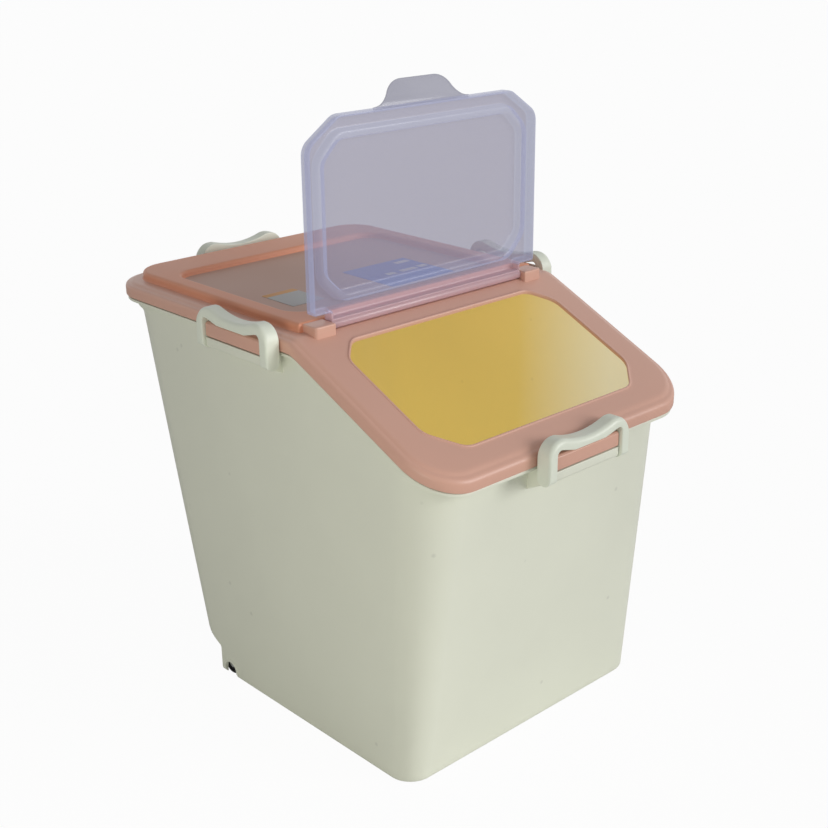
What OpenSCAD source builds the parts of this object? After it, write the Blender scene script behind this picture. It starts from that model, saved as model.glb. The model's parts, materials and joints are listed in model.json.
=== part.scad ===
// Rice bin: a tapered tub on two rear wheels, a lid with a sloped front, a see-through
// flip door in the slope and four swing clips that hold the lid down.
// +X is the bin's right side as seen from the front, the front faces -Y, +Z is up.
// The origin is on the floor under the middle of the lid.

/* [Lid] */
// Width of the lid over its skirt
lid_w = 300; // [290:1:310]
// Depth of the lid over its skirt, front to rear
lid_d = 425; // [418:1:440]
// Corner radius of the lid
lid_r = 39; // [34:1:44]
// Height of the skirt's lower edge on the level rear part
rim_z = 343; // [320:1:370]
// How far the lid's front edge lies below its level rear part
slope_drop = 75; // [66:1:84]
// Depth of the sloping part, from the crease to the front edge
slope_run = 163; // [160:1:168]
// Height of the skirt and cap together
cap_h = 12; // [11.5:0.5:13.5]
// Wall thickness of the lid
lid_t = 2.5; // [2.2:0.1:2.8]
// How far each of the two steps round the cap's upper edge goes in
cap_step = 3.2; // [2.4:0.1:3.6]
// Height of the raised border above the cap
border_h = 7; // [5.5:0.5:8]
// Height of the border's inner floor above the cap
recess_h = 1.5; // [1:0.1:2]
// Width of the border at the sides
border_side = 17; // [15:0.5:24]
// Width of the border at the rear
border_rear = 43; // [36:1:48]
// Width of the border at the front, behind the hinge
border_front = 24; // [18:1:30]
// Distance from the skirt to the border's outer sides
border_in = 17; // [14:1:20]
// Distance from the skirt to the border's outer rear side
border_in_rear = 10.5; // [9.5:0.5:14]
// Corner radius of the border's inner floor
recess_r = 20; // [16:1:28]

/* [Door opening] */
// Width of the opening in the slope
open_w = 236; // [226:1:238]
// Depth of the opening along the ground, front to rear
open_d = 122.5; // [112:0.5:123.5]
// Distance from the crease to the opening, along the ground
open_in = 16; // [15:1:18]
// Size of the cut across each corner of the opening
open_cut = 22; // [16:1:28]
// Radius that eases the ends of those cuts
open_r = 16; // [8:1:20]
// Width of the raised lip round the opening
lip_w = 1.8; // [1.6:0.1:2.4]
// Height of the raised lip round the opening
lip_h = 0.8; // [0.6:0.1:0.9]

/* [Flip door] */
// Width of the door
door_w = 251; // [246:1:254]
// Height of the open door above its hinge axis
door_l = 161.5; // [158:0.5:162]
// Thickness of the door over its rim
door_t = 10; // [9.4:0.1:10]
// Wall thickness of the door
door_wall = 2; // [1.6:0.1:2.2]
// Width of the cut across each far corner of the door
cut_w = 31; // [24:1:38]
// Height of the cut across each far corner of the door
cut_h = 21; // [16:1:28]
// Radius that eases the ends of those cuts
door_r = 12; // [6:1:14]
// Width of the door's inner ring, over its outer sides
ring_w = 231; // [224:1:236]
// Distance from the hinge axis to the ring's near edge
ring_lo = 15.8; // [14.5:0.1:18]
// Distance from the hinge axis to the ring's far edge
ring_hi = 149.5; // [140:0.5:152]
// Size of the cut across each corner of the ring
ring_cut = 20; // [16:1:24]
// Radius that eases the ends of those cuts
ring_r = 18; // [8:1:20]
// Width of the ring's raised band
ring_t = 7; // [5:0.5:8]
// Width of the finger tab at its foot
tab_w = 104; // [96:1:110]
// How far the finger tab stands out
tab_l = 20; // [16:1:20]
// Angle by which the finger tab leans away from the door's face
tab_lean = 20; // [0:1:24]
// Angle through which the door swings from upright to closed
door_swing = 114.3; // [100:0.1:114.3]
// Length of the hinge barrel between the blocks
barrel_w = 216; // [208:1:218]
// Radius of the hinge barrel
barrel_r = 3.8; // [3.5:0.1:3.9]
// Radius of the door's hinge pins
door_pin_r = 2; // [1.6:0.1:2.2]
// Length of each hinge pin
door_pin_l = 10; // [7:0.5:12]
// Length of a hinge block
block_w = 19.5; // [17:0.5:21]
// How far a hinge block reaches before its axis
block_f = 8; // [7:0.1:8.4]
// Height of the hinge axis above the cap
axis_up = 3; // [2.9:0.1:3.2]

/* [Tub] */
// Wall thickness of the tub
tub_t = 2.5; // [2:0.1:3]
// Thickness of the tub's floor
floor_t = 3; // [2.4:0.1:4]
// Distance from the skirt line to the tub's wall at the rim
tub_in = 7.5; // [7.2:0.1:8.5]
// Corner radius of the tub at the rim
tub_top_r = 44; // [36:1:48]
// Width of the tub at the floor
base_w = 281; // [276:1:283]
// Corner radius of the tub at the floor
base_r = 22; // [18:1:28]
// Distance of the floor's front edge behind the lid's front edge
base_front_in = 44; // [40:1:50]
// Distance of the floor's rear edge before the lid's rear edge
base_rear_in = 101; // [98:1:106]
// Height of the bevel round the edge of the floor
foot_r = 4; // [3:0.5:5]
// Thickness of the flange under the skirt
flange_t = 2.5; // [2:0.1:3]
// Gap between the skirt and the flange
flange_gap = 1.5; // [1:0.1:2]
// Height of the stiffening band under the flange
band_h = 6; // [4:0.5:7]

/* [Wheels] */
// Radius of a wheel
wheel_r = 9.8; // [9.4:0.1:9.9]
// Width of a wheel
wheel_w = 11; // [9:0.5:12]
// Distance of the wheel axle before the lid's rear edge
axle_in = 136.5; // [135:0.5:138]
// Height of the wheel axle above the floor
axle_z = 10; // [10:0.1:10.4]
// Radius of the wheel axles
axle_r = 2; // [1.6:0.1:2.4]
// Gap round a wheel in its housing
wheel_gap = 1.5; // [1:0.1:2]
// Height of the step under the tub's rear
step_h = 26; // [24:0.5:30]
// Distance of the step before the lid's rear edge
step_in = 125.5; // [124:0.5:126]
// Width of the arch that shows the wheel in the tub's side
arch_w = 12; // [9:0.5:13]

/* [Clips] */
// Width of a clip
clip_w = 94; // [92:1:98]
// Depth of a clip, out from the skirt
clip_d = 13.5; // [13:0.5:14.5]
// Width of a clip's leg
leg_w = 9; // [8:0.5:9]
// Height of a clip's two humps above the skirt's lower edge
hump_z = 22; // [20:0.5:22]
// How far the top of a clip dips between its humps
dip = 5; // [4.5:0.1:6]
// Width of a lug on the lid's skirt
lug_w = 75; // [70:1:75]
// How far a lug stands out from the skirt
lug_out = 12; // [10:0.5:12.5]
// Height of a lug above the skirt's lower edge
lug_top = 9; // [8:0.5:9]
// How far the foot of a lug reaches below the skirt
lug_drop = 3; // [2:0.5:3]
// Distance of the side clips behind the middle of the lid
side_clip_y = 8; // [6:1:11]
// Height of the clip pivots below the skirt's lower edge
pivot_drop = 7; // [7:0.1:7.5]
// Distance of the clip pivots out from the skirt
pivot_out = 8.2; // [8:0.1:8.4]
// Radius of a clip's pivot pins
clip_pin_r = 2; // [1.6:0.1:2.1]
// Length of a clip's pivot pins inside the ledge
clip_pin_l = 7; // [5:0.5:9]

/* [Seal and labels] */
// Thickness of the lid's sealing strip
seal_h = 3; // [2:0.5:3.5]
// Width of the wide label
label_a_w = 74; // [60:1:80]
// Depth of the wide label
label_a_d = 68; // [50:1:72]
// Width of the small label
label_b_w = 34; // [24:1:40]
// Depth of the small label
label_b_d = 44; // [20:1:48]
// Thickness of a label
label_t = 0.3; // [0.2:0.1:0.5]

/* [Hidden] */
$fn = 64;
hull_fn = 32;
ease_n = 4;       // flats round an eased corner
eps = 0.02;
far = 60;
fit = 0.05;       // radial clearance of a pin in its bore
play = 0.5;       // clearance between moving faces

skirt_x = lid_w / 2;
front_y = -lid_d / 2;
rear_y = lid_d / 2;
crease_y = front_y + slope_run;
front_z = rim_z - slope_drop;
grade = slope_drop / slope_run;

skirt_h = cap_h * 0.7;                  // top of the skirt's outer face
step_h1 = cap_h * 0.86;                  // top of the first step
cap_z = rim_z + cap_h;
border_z = cap_z + border_h;
recess_z = cap_z + recess_h;
rim_top = cap_h - lid_t - seal_h;        // the tub's upper edge, under the seal
wall_in = tub_in - 1;                    // the lid's cavity round the tub's rim
cavity_h1 = skirt_h - 2;

hinge_y = crease_y + 1;
hinge_z = cap_z + axis_up;
door_face = door_t - 2;                  // the outer face behind the hinge axis
door_edge = -2;                          // the rim's edge before the hinge axis
ring_edge = -1.2;                        // the ring's edge, which clears the opening's lip
block_x0 = barrel_w / 2 + play;
block_x1 = block_x0 + block_w;
block_b = door_face + 0.5;               // a hinge block reaches back into the border
block_up = 3.2;                          // how far a hinge block reaches above its axis
// where the shut door's rim meets the block's front, and the door's foot, clear of the block
block_low = (block_f * cos(door_swing) + door_edge) / sin(door_swing);
door_notch = max(norm([block_f, block_up]), block_f * sin(door_swing) + block_low * cos(door_swing)) + 0.4;
groove_r = barrel_r + play;

border_x = skirt_x - border_in;
border_y0 = hinge_y + door_face + 0.4;
border_y1 = rear_y - border_in_rear;
border_r = lid_r - border_in_rear;
recess_x = border_x - border_side;
recess_y0 = border_y0 + border_front;
recess_y1 = border_y1 - border_rear;

open_y1 = crease_y - open_in;
open_y0 = open_y1 - open_d;

flange_lo = -flange_gap - flange_t;
band_lo = flange_lo - band_h;
band_in = tub_in + 1.5;

base_x = base_w / 2;
base_y0 = front_y + base_front_in;
base_y1 = rear_y - base_rear_in;
top_z = rim_z + far;                     // the taper runs on past the rim and is cut off there
run_on = top_z / rim_z;
top_x = base_x + (skirt_x - tub_in - base_x) * run_on;
top_y0 = base_y0 + (front_y + tub_in - base_y0) * run_on;
top_y1 = base_y1 + (rear_y - tub_in - base_y1) * run_on;
top_r = base_r + (tub_top_r - base_r) * run_on;

axle_y = rear_y - axle_in;
step_y = rear_y - step_in;
house_r = wheel_r + wheel_gap;
house_x1 = base_x - tub_t;
house_x0 = house_x1 - wheel_w - 2 * play;
wheel_x = (house_x0 + house_x1) / 2;
hub_r = axle_r + fit;
head_r = axle_r + 1.6;
boss_l = 8;

pivot_x = skirt_x + pivot_out;
clip_x1 = pivot_x + clip_d / 2;
slot_z = lug_top + 0.9;
foot_z = -pivot_drop - clip_d / 2;       // the lowest point of a clip's legs
slot_r = 4;                              // size of the gaps at the ends of a clip's slot
ledge_top = -lug_drop - 1;
ledge_x = pivot_x + clip_pin_r + 2;

// Each clip: distance along the bin, turn about Z, height of the skirt's edge, skirt distance
LEFT = [side_clip_y, 180, rim_z, skirt_x];
RIGHT = [side_clip_y, 0, rim_z, skirt_x];
FRONT = [0, -90, front_z, lid_d / 2];
REAR = [0, 90, rim_z, lid_d / 2];

cream = [0.86, 0.86, 0.78];
pink = [0.80, 0.58, 0.51];
lilac = [0.74, 0.74, 0.86, 0.5];
black = [0.08, 0.08, 0.08];

// ---- shared shapes ----

// A rectangle with true round corners, from corner to corner
module round_rect(x0, y0, x1, y1, r, n = $fn) {
    translate([x0 + r, y0]) square([x1 - x0 - 2 * r, y1 - y0]);
    translate([x0, y0 + r]) square([x1 - x0, y1 - y0 - 2 * r]);
    for (x = [x0 + r, x1 - r], y = [y0 + r, y1 - r]) translate([x, y]) circle(r, $fn = n);
}

// The points of a convex polygon, corners listed anticlockwise, grown by r and eased round its corners
function soft_points(p, r) = [
    for (i = [0 : len(p) - 1])
        let (
            last = p[i] - p[(i + len(p) - 1) % len(p)], next = p[(i + 1) % len(p)] - p[i],
            from = atan2(last[1], last[0]) - 90, to = atan2(next[1], next[0]) - 90,
            turn = to < from ? to - from + 360 : to - from
        )
        for (k = [0 : ease_n]) p[i] + r * [cos(from + turn * k / ease_n), sin(from + turn * k / ease_n)]
];

// The corners of a rectangle whose corners are cut off, a wide and b high, all set in by d
function cut_rect(x, y0, y1, a, b, d) =
    let (l = sqrt(a * a + b * b), u = a + d * (l - a) / b, v = b + d * (l - b) / a) [
        [-x + u, y0 + d], [x - u, y0 + d], [x - d, y0 + v], [x - d, y1 - v],
        [x - u, y1 - d], [-x + u, y1 - d], [-x + d, y1 - v], [-x + d, y0 + v]
    ];

// A rectangle with cut and eased corners, set in by inset
module soft_cut(x, y0, y1, a, b, r, inset) {
    polygon(soft_points(cut_rect(x, y0, y1, a, b, r + inset), r));
}

// A slab right across the bin between two heights above the rim line, which bends at the crease
module profile_slab(lo, hi) {
    drop = far * grade;
    rotate([90, 0, 90]) translate([0, 0, -lid_w]) linear_extrude(2 * lid_w) polygon([
        [rear_y + far, rim_z + lo], [crease_y, rim_z + lo], [front_y - far, front_z - drop + lo],
        [front_y - far, front_z - drop + hi], [crease_y, rim_z + hi], [rear_y + far, rim_z + hi]
    ]);
}

// A closed band along the rim line: the lid's outline set in, between two heights above the line
module band(inset, lo, hi) {
    intersection() {
        profile_slab(lo, hi);
        translate([0, 0, front_z - far]) linear_extrude(slope_drop + 3 * far)
            round_rect(-skirt_x + inset, front_y + inset, skirt_x - inset, rear_y - inset, lid_r - inset);
    }
}

// Carry a shape drawn at the right-hand side, where +X points away from the bin, to a clip's place
module at_side(place) {
    translate([0, 0, place[2]]) rotate([0, 0, place[1]])
        translate([place[3] - skirt_x, place[1] == 180 ? -place[0] : place[0], 0]) children();
}

// Both sides of the bin
module both_sides() {
    children();
    mirror([1, 0, 0]) children();
}

// A cylinder along X from x0 to x1
module rod_x(r, x0, x1) {
    translate([x0, 0, 0]) rotate([0, 90, 0]) cylinder(r = r, h = x1 - x0);
}

// ---- tub ----

// The tapered body with a bevelled foot, its walls set in by t and its floor raised by f
module tub_body(t, f) {
    hull() {
        base_slab(t + foot_r, f);
        base_slab(t + foot_r * 0.3, f + foot_r * 0.3);
        base_slab(t, f + foot_r);
        translate([0, 0, top_z]) linear_extrude(eps)
            round_rect(-top_x + t, top_y0 + t, top_x - t, top_y1 - t, top_r - t, hull_fn);
    }
}

module base_slab(inset, z) {
    translate([0, 0, z]) linear_extrude(eps) round_rect(
        -base_x + inset, base_y0 + inset, base_x - inset, base_y1 - inset, base_r - inset, hull_fn);
}

// The space under the tub's rear, behind the step, with t added on the inner side of the wall
module rear_step(t) {
    rotate([90, 0, 90]) translate([0, 0, -lid_w]) linear_extrude(2 * lid_w) polygon([
        [step_y - t, -far], [step_y - t, step_h + t], [step_y + 8, step_h + 3.5 + t],
        [step_y + 17, step_h + 8 + t], [step_y + 23 - t, step_h + 13 + t],
        [step_y + 27 - t, step_h + 28 + t], [step_y + 27 + far, step_h + 28 + far], [step_y + 27 + far, -far]
    ]);
}

// The housing round a wheel, open below and behind, with t added for the wall round it
module wheel_house(t) {
    x1 = t > 0 ? base_x + far : house_x1;
    translate([0, axle_y, axle_z]) rod_x(house_r + t, house_x0 - t, x1);
    translate([house_x0 - t, axle_y - house_r - t, -far])
        cube([x1 - house_x0 + t, 2 * (house_r + t), far + axle_z]);
}

// An arch in the tub's side over the wheel, r wide either way, from z = low up to z = top
module arch(r, low, top, x0, x1) intersection() {
    union() {
        translate([0, axle_y, top - r]) rod_x(r, x0, x1);
        translate([x0, axle_y - r, low]) cube([x1 - x0, 2 * r, top - r - low]);
    }
    translate([x0, axle_y - r, low]) cube([x1 - x0, 2 * r, top - low]);
}

// A ledge under a lug, drawn in a clip's own place
module ledge(depth) {
    translate([0, lug_w / 2, 0]) rotate([90, 0, 0]) linear_extrude(lug_w) polygon([
        [skirt_x - depth, ledge_top], [ledge_x, ledge_top], [ledge_x, -pivot_drop - clip_pin_r - 2.5],
        [skirt_x, ledge_top - 14], [skirt_x - depth, ledge_top - 14 - depth / 2]
    ]);
}

// The blind bores in a ledge's ends
module ledge_bores() {
    for (s = [-1, 1]) translate([pivot_x, s * (lug_w / 2 - clip_pin_l / 2), -pivot_drop])
        rotate([90, 0, 0]) cylinder(r = clip_pin_r + fit, h = clip_pin_l + 2, center = true);
}

module tub() color(cream) difference() {
    union() {
        intersection() {
            tub_body(0, 0);
            profile_slab(-rim_z - far, flange_lo + eps);
        }
        band(1.5, flange_lo, -flange_gap);
        band(band_in, band_lo, flange_lo + eps);
        band(tub_in, -flange_gap - eps, rim_top);
        at_side(LEFT) ledge(15);
        at_side(RIGHT) ledge(15);
        at_side(FRONT) ledge(20);
        at_side(REAR) ledge(20);
        both_sides() difference() {
            arch(arch_w / 2 + 4.5, 1, 16, base_x - tub_t, base_x + 0.6);
            rear_step(0);
        }
    }
    // the inside, less the walls round the step, the housings and the axle bosses
    difference() {
        intersection() {
            tub_body(tub_t, floor_t);
            profile_slab(-rim_z - far, -flange_gap);
        }
        rear_step(tub_t);
        both_sides() {
            wheel_house(tub_t);
            translate([0, axle_y, axle_z]) rod_x(axle_r + 2.5, house_x0 - tub_t - boss_l, house_x0);
        }
    }
    band(band_in + tub_t, band_lo + tub_t, -flange_gap + eps);
    band(tub_in + tub_t, -flange_gap, rim_top + far);
    rear_step(0);
    both_sides() {
        wheel_house(0);
        arch(arch_w / 2, -far, 13.5, house_x1 - eps, base_x + far);
        translate([0, axle_y, axle_z]) rod_x(axle_r, house_x0 - tub_t - boss_l + 2, house_x0 + eps);
    }
    at_side(LEFT) ledge_bores();
    at_side(RIGHT) ledge_bores();
    at_side(FRONT) ledge_bores();
    at_side(REAR) ledge_bores();
}

// ---- lid ----

// The border's outer outline, set in, with square front corners
module border_plan(inset) {
    round_rect(-border_x + inset, border_y0 + inset, border_x - inset, border_y1 - inset,
        border_r - inset);
    translate([-border_x + inset, border_y0 + inset])
        square([2 * (border_x - inset), border_r]);
}

module recess_plan(grow) {
    round_rect(-recess_x - grow, recess_y0 - grow, recess_x + grow, recess_y1 + grow, recess_r + grow);
}

module opening_plan(grow) {
    soft_cut(open_w / 2, open_y0, open_y1, open_cut, open_cut, open_r, -grow);
}

// A lug on the skirt, drawn in a clip's own place
module lug() {
    edge = 1.5;
    translate([0, lug_w / 2, 0]) rotate([90, 0, 0]) linear_extrude(lug_w) polygon([
        [skirt_x - 1, -lug_drop], [skirt_x + lug_out, -lug_drop], [skirt_x + lug_out, lug_top - edge],
        [skirt_x + lug_out - edge, lug_top], [skirt_x - 1, lug_top]
    ]);
}

// A block that carries one end of the door's hinge
module hinge_block() {
    translate([block_x0, hinge_y - block_f, cap_z - lid_t - 2])
        cube([block_w, block_f + block_b, hinge_z + block_up - cap_z + lid_t + 2]);
}

module lid() color(pink) difference() {
    union() {
        difference() {
            union() {
                band(0, 0, skirt_h);
                band(cap_step, skirt_h - eps, step_h1);
                band(2 * cap_step, step_h1 - eps, cap_h);
                intersection() {
                    profile_slab(cap_h - 1, cap_h + lip_h);
                    translate([0, 0, front_z]) linear_extrude(slope_drop + far) opening_plan(lip_w);
                }
                translate([0, 0, cap_z - 1]) linear_extrude(border_h + 1) border_plan(0);
                both_sides() hinge_block();
            }
            // the space underneath
            band(lid_t, -far, cavity_h1);
            band(wall_in, cavity_h1 - eps, cap_h - lid_t);
            translate([0, 0, cap_z - lid_t - eps]) linear_extrude(border_h + eps) difference() {
                border_plan(lid_t);
                recess_plan(lid_t);
            }
            translate([0, 0, recess_z]) linear_extrude(far) recess_plan(0);
            translate([0, 0, cap_z - lid_t - eps]) linear_extrude(recess_h + eps) recess_plan(lid_t + eps);
        }
        // a rib under the hinge groove
        intersection() {
            profile_slab(cap_h - lid_t - 3, cap_h - lid_t / 2);
            translate([-block_x1, hinge_y - groove_r - 1, rim_z - far])
                cube([2 * block_x1, 2 * groove_r + 2, 2 * far]);
        }
        at_side(LEFT) lug();
        at_side(RIGHT) lug();
        at_side(FRONT) lug();
        at_side(REAR) lug();
    }
    translate([0, 0, front_z - far]) linear_extrude(slope_drop + 3 * far) opening_plan(0);
    translate([0, hinge_y, hinge_z]) {
        rod_x(groove_r, -block_x0, block_x0);
        rod_x(door_pin_r + fit, -block_x0 - door_pin_l - 1, block_x0 + door_pin_l + 1);
    }
}

module lid_seal() color([0.85, 0.85, 0.83]) difference() {
    band(wall_in + 0.5, rim_top, cap_h - lid_t);
    band(wall_in + 5.5, rim_top - 1, cap_h);
}

// ---- flip door ----

// The door's outline without its tab, set in; the first axis is X, the second runs up the open door
module door_plan(inset) {
    x1 = door_w / 2 - inset;
    x2 = barrel_w / 2 - inset;
    lo = barrel_r - 1.3 + inset;
    notch = door_notch + inset;
    soft_cut(door_w / 2, door_notch, door_l, cut_w, cut_h, door_r, inset);
    translate([-x1, notch]) square([2 * x1, door_l / 2]);
    translate([-x2, lo]) square([2 * x2, door_l / 2]);
}

// The finger tab's outline: a rounded tongue with flared feet
module tab_plan() {
    r = tab_l;
    foot = tab_w / 2;
    mid = foot - 14 - r;
    root = door_l - door_wall;
    intersection() {
        union() {
            for (s = [-1, 1]) translate([s * mid, door_l]) circle(r);
            translate([-mid, root]) square([2 * mid, r + door_wall]);
            polygon([
                [-foot, root], [foot, root], [foot, door_l], [foot - 15.5, door_l + 8],
                [15.5 - foot, door_l + 8], [-foot, door_l]
            ]);
        }
        translate([-foot, root]) square([2 * foot, far]);
    }
}

// The outline of the ring inside the door, which lies over the opening's edge when the door is shut
module ring_plan(inset) {
    soft_cut(ring_w / 2, ring_lo, ring_hi, ring_cut, ring_cut, ring_r, inset);
}

// Stand a flat outline upright in the door's place, from depth y0 to y1 behind the hinge axis
module upright(y0, y1) {
    translate([0, hinge_y + y1, hinge_z]) rotate([90, 0, 0]) linear_extrude(y1 - y0) children();
}

module flip_door() color(lilac) {
    difference() {
        upright(door_edge, door_face) door_plan(0);
        upright(door_edge - 1, door_face - door_wall) door_plan(door_wall);
    }
    // the tab leans away about the door's far edge
    translate([0, hinge_y + door_face, hinge_z + door_l]) rotate([-tab_lean, 0, 0])
        translate([0, -hinge_y - door_face, -hinge_z - door_l])
            upright(door_face - door_wall, door_face) tab_plan();
    upright(ring_edge, door_face - door_wall + eps) difference() {
        ring_plan(0);
        ring_plan(ring_t);
    }
    translate([0, hinge_y, hinge_z]) {
        rod_x(barrel_r, -barrel_w / 2, barrel_w / 2);
        rod_x(door_pin_r, -barrel_w / 2 - door_pin_l, barrel_w / 2 + door_pin_l);
    }
}

// ---- clips ----

// A clip's outline from outside: two legs, a crosspiece with two humps and a dip between them;
// the crosspiece rises over a small gap at each end of the lug
module clip_front_plan() {
    x1 = clip_w / 2;
    slot_x = x1 - leg_w;
    hump_r = 14;
    dip_r = (pow(x1 - 18, 2) + dip * dip) / (2 * dip);
    difference() {
        union() {
            translate([-x1, foot_z]) square([clip_w, hump_z - hump_r - foot_z]);
            translate([-x1 + hump_r, 0]) square([clip_w - 2 * hump_r, hump_z]);
            for (s = [-1, 1]) translate([s * (x1 - hump_r), hump_z - hump_r]) circle(hump_r);
        }
        translate([0, hump_z - dip + dip_r]) circle(dip_r, $fn = 96);
        translate([-slot_x, foot_z - far]) square([2 * slot_x, slot_z - foot_z + far]);
        for (s = [-1, 1]) polygon([
            [s * (slot_x - 5 * slot_r), slot_z - eps], [s * slot_x, slot_z - eps],
            for (k = [0 : ease_n])
                [s * (slot_x - slot_r + slot_r * cos(26 * k)), slot_z + slot_r * sin(26 * k)]
        ]);
    }
}

// A clip's outline from the end: its foot is round about the pivot
module clip_side_plan() {
    translate([pivot_x, -pivot_drop]) circle(clip_d / 2);
    translate([pivot_x - clip_d / 2, -pivot_drop]) square([clip_d, hump_z + far]);
}

module clip_piece() color([0.88, 0.88, 0.82]) {
    intersection() {
        rotate([90, 0, 90]) linear_extrude(clip_x1 + far) clip_front_plan();
        translate([0, clip_w, 0]) rotate([90, 0, 0]) linear_extrude(2 * clip_w) difference() {
            clip_side_plan();
            translate([clip_x1, hump_z - 6]) rotate(45) square(far);
        }
    }
    for (s = [-1, 1]) {
        outer = clip_w / 2 - leg_w + 1;
        inner = lug_w / 2 - clip_pin_l;
        translate([pivot_x, s * (outer + inner) / 2, -pivot_drop])
            rotate([90, 0, 0]) cylinder(r = clip_pin_r, h = outer - inner, center = true);
    }
}

module clip_left() at_side(LEFT) clip_piece();
module clip_right() at_side(RIGHT) clip_piece();
module clip_front() at_side(FRONT) clip_piece();
module clip_rear() at_side(REAR) clip_piece();

// ---- wheels ----

// A wheel on the right-hand side, with a web let in on its outer face and a bore for the axle
module wheel_piece() color(black) translate([wheel_x, axle_y, axle_z]) rotate([0, 90, 0])
    difference() {
        rotate_extrude() polygon([
            [0, -wheel_w / 2], [wheel_r - 1, -wheel_w / 2], [wheel_r, 1 - wheel_w / 2],
            [wheel_r, wheel_w / 2 - 1], [wheel_r - 1, wheel_w / 2], [wheel_r - 2.4, wheel_w / 2],
            [wheel_r - 2.8, wheel_w / 2 - 2], [0, wheel_w / 2 - 2]
        ]);
        cylinder(r = hub_r, h = 2 * wheel_w, center = true);
    }

// An axle pressed into the tub's boss, with a head that keeps the wheel on
module axle_piece() color([0.7, 0.7, 0.7]) translate([0, axle_y, axle_z]) {
    face = wheel_x + wheel_w / 2 - 2 + play;
    rod_x(axle_r, house_x0 - tub_t - boss_l + 2, face + eps);
    rod_x(head_r, face, face + 1.2);
}

module wheel_right() wheel_piece();
module wheel_left() mirror([1, 0, 0]) wheel_piece();
module axle_right() axle_piece();
module axle_left() mirror([1, 0, 0]) axle_piece();

// ---- labels ----

module label_wide() color([0.25, 0.42, 0.70])
    translate([5, recess_y0 + 19, recess_z]) cube([label_a_w, label_a_d, label_t]);

module label_small() color([0.80, 0.62, 0.42])
    translate([-94, recess_y0 + 32, recess_z]) cube([label_b_w, label_b_d, label_t]);

tub();
lid();
lid_seal();
flip_door();
clip_left();
clip_right();
clip_front();
clip_rear();
wheel_left();
wheel_right();
axle_left();
axle_right();
label_wide();
label_small();
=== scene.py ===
"""Rice bin with a flip lid: a moulded tub, a lid with a sloped front, a see-through flip door,
four swing clips and two rear wheels. Shapes are worked out in millimetres and kept in metres."""
import json
import math
import bmesh
import bpy
import numpy as np
from mathutils import Matrix, Vector
from mathutils.geometry import delaunay_2d_cdt

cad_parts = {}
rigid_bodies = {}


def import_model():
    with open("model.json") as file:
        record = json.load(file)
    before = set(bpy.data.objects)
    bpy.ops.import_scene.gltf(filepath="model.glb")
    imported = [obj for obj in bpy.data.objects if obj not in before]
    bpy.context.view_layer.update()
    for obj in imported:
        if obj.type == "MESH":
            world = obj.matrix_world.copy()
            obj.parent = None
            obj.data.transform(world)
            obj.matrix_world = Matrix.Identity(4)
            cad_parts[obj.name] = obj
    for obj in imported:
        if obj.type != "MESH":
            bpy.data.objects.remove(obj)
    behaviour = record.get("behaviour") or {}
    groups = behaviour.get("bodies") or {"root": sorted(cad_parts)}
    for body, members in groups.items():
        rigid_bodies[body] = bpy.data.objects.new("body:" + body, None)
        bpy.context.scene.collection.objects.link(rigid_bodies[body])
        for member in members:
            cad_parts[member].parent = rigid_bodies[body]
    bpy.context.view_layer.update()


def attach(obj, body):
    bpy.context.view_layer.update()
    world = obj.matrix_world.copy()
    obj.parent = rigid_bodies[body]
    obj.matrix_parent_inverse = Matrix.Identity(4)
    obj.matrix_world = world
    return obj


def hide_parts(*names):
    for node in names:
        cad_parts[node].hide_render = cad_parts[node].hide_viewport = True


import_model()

MM = 0.001

# the lid: its skirt's half width, half depth and corner radius, then its levels
SKIRT_X, SKIRT_Y, SKIRT_R = 150.0, 212.5, 39.0
RIM = 343.0               # the skirt's lower edge on the level part
CREASE = -49.5            # where the lid's slope starts
FRONT_DROP = 75.0         # fall of the slope down to the front clip
GRADE = FRONT_DROP / 163.0   # fall of the slope for each millimetre forwards
EASE = 3.0                # reach of the soft bend at the crease
CAP = 12.0                # the cap's top over the skirt's lower edge
BORDER_UP = 7.0           # the raised border's top over the cap
FLOOR_UP = 1.5            # the let-in floor inside the border over the cap
SHEET = 2.5               # thickness of the cap and of the tub's wall
KNOTS = np.array([-8, -5, -3, -1.5, 0, 1.5, 3, 5, 8]) + CREASE   # close samples about it

# the door's hinge, its barrel and pins, and the trough in the cap that clears them
HINGE = np.array([0.0, -48.5, 358.0])
BARREL_X, BARREL_R = 108.0, 3.8
PIN_R = 2.0
TROUGH_X, TROUGH_R = 108.4, 4.3

# the door: its top over the hinge axis, its plate's two faces behind it, and the tab's lean
DOOR_TOP = 161.5
PLATE_FRONT, DOOR_BACK = 6.0, 8.0
TAB_LEAN = math.radians(20.0)
LIT_FOOT_LOW, LIT_FOOT_HIGH = 0.3665, 0.3685   # where the painted light rose of the door's foot fades out, in metres

# the clips: how far behind the middle the side ones sit, their half length, the inner side of
# their legs, half their depth, and their pivot's place out from the skirt and under its edge
CLIP_Y = 8.0
CLIP_HALF, LEG_IN, CLIP_DEEP = 47.0, 38.0, 6.75
PIVOT_OUT, PIVOT_DROP = 8.2, 7.0
LUG_HALF = 37.5           # half length of the lugs and ledges between the clips' legs

# the step under the tub's rear: where it starts, and the wall's rear for each height
STEP_BACK = 87.0
STEP_Z = np.array([-60, 24, 26, 27.5, 29.6, 31.9, 34, 36.6, 40, 45, 50, 55, 60.5, 66.3, 70, 74,
                   90])
STEP_Y = np.array([STEP_BACK, STEP_BACK, 88, 91, 95.3, 100, 104, 107.5, 110.2, 112, 113.2,
                   115.6, 120.3, 126.2, 130.2, 136, 400])


# ---------------------------------------------------------------- outlines and surfaces

def rim(y):
    """Height of the skirt's lower edge: level behind the crease, falling in front of it, with the
    bend eased over a few millimetres by half the sum of the distance and its rounded size."""
    u = CREASE - np.asarray(y, float)
    return RIM - GRADE * (u + np.sqrt(u * u + EASE ** 2)) / 2


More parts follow.
